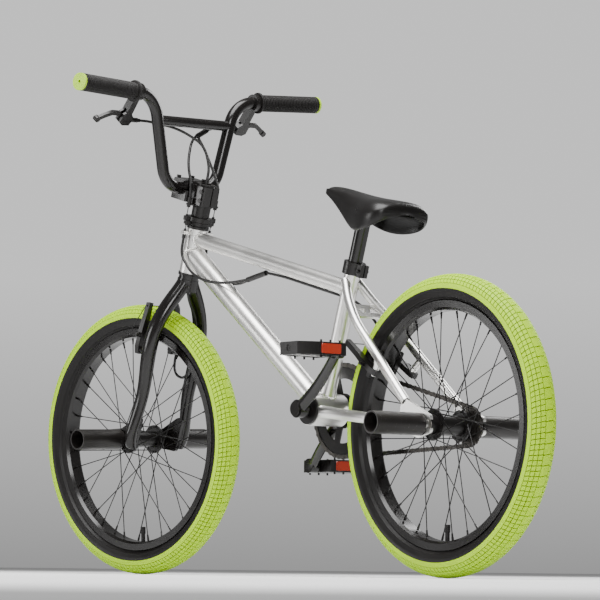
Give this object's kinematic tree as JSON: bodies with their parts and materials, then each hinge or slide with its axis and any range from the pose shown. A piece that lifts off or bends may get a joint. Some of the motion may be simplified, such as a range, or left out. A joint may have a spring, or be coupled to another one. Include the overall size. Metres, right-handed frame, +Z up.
{
  "type": "bmx bike",
  "caption": "Freestyle bmx bike with a silver diamond frame, black high-rise bars with a crossbar, foot pegs, rim brakes with a cable detangler and lime-treaded tyres.",
  "frame": {"origin": "on the ground midway between the axles, in the middle plane of the frame", "axes": "+X forward, +Y to the rider's left, +Z up; the bars and front wheel are stored turned 8 degrees to the left"},
  "size_m": [1.3936, 0.6051, 0.9193],
  "materials": {
    "silver_frame": "satin silver",
    "black_paint": "semi-gloss black",
    "black_aluminium": "black anodised",
    "tyre": "black sidewall with a lime tread",
    "black_rubber": "matt",
    "black_spoke": "black coated",
    "black_plastic": "satin",
    "lime_plastic": "satin",
    "steel": "zinc plated",
    "dark_chain": "oiled, dark"
  },
  "bodies": {
    "frame": {"head_tube": "silver_frame", "top_tube": "silver_frame", "down_tube": "silver_frame", "seat_tube": "silver_frame", "bottom_bracket_shell": "silver_frame", "chain_stays": "silver_frame", "seat_stays": "silver_frame", "rear_dropouts": "silver_frame", "stay_bridge": "silver_frame", "headset_cups": "black_paint", "seat_clamp": "black_aluminium", "bottom_bracket_cups": "black_paint", "rear_axle": "steel", "rear_pegs": "black_paint", "rear_brake_cable": "black_plastic", "chain": "dark_chain"},
    "seat_post": {"seat_post": "black_paint"},
    "saddle": {"saddle_pad": "black_plastic", "saddle_shell": "black_plastic"},
    "steering": {"fork": "black_paint", "headset_spacer": "black_aluminium", "stem_body": "black_aluminium", "stem_clamp_plate": "black_aluminium", "stem_bolts": "steel", "handlebar": "black_paint", "grip_left": "black_rubber", "grip_right": "black_rubber", "bar_end_plugs": "lime_plastic", "lever_bracket_left": "black_plastic", "lever_bracket_right": "black_plastic", "front_axle": "steel", "front_pegs": "black_paint", "steering_cables": "black_plastic"},
    "brake_lever_left": {"brake_lever_left": "black_plastic"},
    "brake_lever_right": {"brake_lever_right": "black_plastic"},
    "front_brake_arm_left": {"front_brake_arm_left": "black_paint"},
    "front_brake_arm_right": {"front_brake_arm_right": "black_paint"},
    "rear_brake_arm_left": {"rear_brake_arm_left": "black_paint"},
    "rear_brake_arm_right": {"rear_brake_arm_right": "black_paint"},
    "gyro_upper": {"gyro_upper": "black_paint"},
    "gyro_lower": {"gyro_lower": "black_paint"},
    "front_wheel": {"front_tyre": "tyre", "front_rim": "black_aluminium", "front_inner_tube": "black_rubber", "front_spokes": "black_spoke", "front_hub": "black_aluminium", "front_hub_bearings": "steel"},
    "rear_wheel": {"rear_tyre": "tyre", "rear_rim": "black_aluminium", "rear_inner_tube": "black_rubber", "rear_spokes": "black_spoke", "rear_hub": "black_aluminium", "rear_hub_bearings": "steel"},
    "freewheel": {"freewheel": "steel"},
    "crank": {"crank_spindle": "steel", "crank_arm_left": "black_paint", "crank_arm_right": "black_paint", "chainring": "black_paint"},
    "pedal_left": {"pedal_left": "black_plastic"},
    "pedal_right": {"pedal_right": "black_plastic"}
  },
  "joints": [
    {"name": "steering", "type": "hinge", "parent": "frame", "child": "steering", "pos_m": [0.40192, 0, 0.24114], "axis": [-0.2924, 0, 0.9563], "continuous": true},
    {"name": "front_wheel_spin", "type": "hinge", "parent": "steering", "child": "front_wheel", "pos_m": [0.44359, 0.00612, 0.25388], "axis": [-0.1331, 0.9903, -0.0407], "continuous": true},
    {"name": "rear_wheel_spin", "type": "hinge", "parent": "frame", "child": "rear_wheel", "pos_m": [-0.444, 0, 0.254], "axis": [0, 1, 0], "continuous": true},
    {"name": "crank_spin", "type": "hinge", "parent": "frame", "child": "crank", "pos_m": [-0.108, 0, 0.291], "axis": [0, 1, 0], "continuous": true, "deforming": ["chain"]},
    {"name": "freewheel_spin", "type": "hinge", "parent": "frame", "child": "freewheel", "pos_m": [-0.444, 0, 0.254], "axis": [0, 1, 0], "continuous": true},
    {"name": "pedal_left_spin", "type": "hinge", "parent": "crank", "child": "pedal_left", "pos_m": [-0.24809, 0, 0.38372], "axis": [0, 1, 0], "continuous": true},
    {"name": "pedal_right_spin", "type": "hinge", "parent": "crank", "child": "pedal_right", "pos_m": [0.03209, 0, 0.19828], "axis": [0, 1, 0], "continuous": true},
    {"name": "brake_lever_left_squeeze", "type": "hinge", "parent": "steering", "child": "brake_lever_left", "pos_m": [0.29071, 0.16606, 0.83688], "axis": [0.7462, 0.1271, 0.6535], "range_deg": [0, 25], "stiffness_Nm_per_rad": 0.5, "springref_deg": -34.38},
    {"name": "brake_lever_right_squeeze", "type": "hinge", "parent": "steering", "child": "brake_lever_right", "pos_m": [0.33197, -0.14093, 0.84949], "axis": [-0.7462, -0.1271, -0.6535], "range_deg": [0, 25], "stiffness_Nm_per_rad": 0.5, "springref_deg": -34.38},
    {"name": "front_brake_arm_left_close", "type": "hinge", "parent": "steering", "child": "front_brake_arm_left", "pos_m": [0.39475, 0.04777, 0.41968], "axis": [0.9588, 0.139, 0.2475], "range_deg": [0, 2.9]},
    {"name": "front_brake_arm_right_close", "type": "hinge", "parent": "steering", "child": "front_brake_arm_right", "pos_m": [0.40566, -0.03343, 0.42301], "axis": [-0.9588, -0.139, -0.2475], "range_deg": [0, 2.9]},
    {"name": "rear_brake_arm_left_close", "type": "hinge", "parent": "frame", "child": "rear_brake_arm_left", "pos_m": [-0.29891, 0.041, 0.34822], "axis": [0.5446, 0, -0.8387], "range_deg": [0, 2.9]},
    {"name": "rear_brake_arm_right_close", "type": "hinge", "parent": "frame", "child": "rear_brake_arm_right", "pos_m": [-0.29891, -0.041, 0.34822], "axis": [-0.5446, 0, 0.8387], "range_deg": [0, 2.9]},
    {"name": "gyro_upper_lift", "type": "slide", "parent": "steering", "child": "gyro_upper", "axis": [-0.2924, 0, 0.9563], "range_m": [0, 0.008]},
    {"name": "gyro_lower_lift", "type": "slide", "parent": "frame", "child": "gyro_lower", "axis": [-0.2924, 0, 0.9563], "range_m": [0, 0.008]},
    {"name": "seat_height", "type": "slide", "parent": "frame", "child": "seat_post", "axis": [-0.309, 0, 0.9511], "range_m": [-0.04, 0.05]},
    {"name": "saddle_tilt", "type": "hinge", "parent": "seat_post", "child": "saddle", "pos_m": [-0.21492, 0, 0.62007], "axis": [0, 1, 0], "range_deg": [-10, 10]}
  ],
  "couplings": [
    {"joint": "freewheel_spin", "follows": "crank_spin", "ratio": 2.5},
    {"joint": "front_brake_arm_left_close", "follows": "brake_lever_left_squeeze", "ratio": 0.1158},
    {"joint": "front_brake_arm_right_close", "follows": "brake_lever_left_squeeze", "ratio": 0.1158},
    {"joint": "rear_brake_arm_left_close", "follows": "brake_lever_right_squeeze", "ratio": 0.1158},
    {"joint": "rear_brake_arm_right_close", "follows": "brake_lever_right_squeeze", "ratio": 0.1158},
    {"joint": "gyro_upper_lift", "follows": "brake_lever_right_squeeze", "m_per_rad": 0.018},
    {"joint": "gyro_lower_lift", "follows": "brake_lever_right_squeeze", "m_per_rad": 0.018}
  ]
}
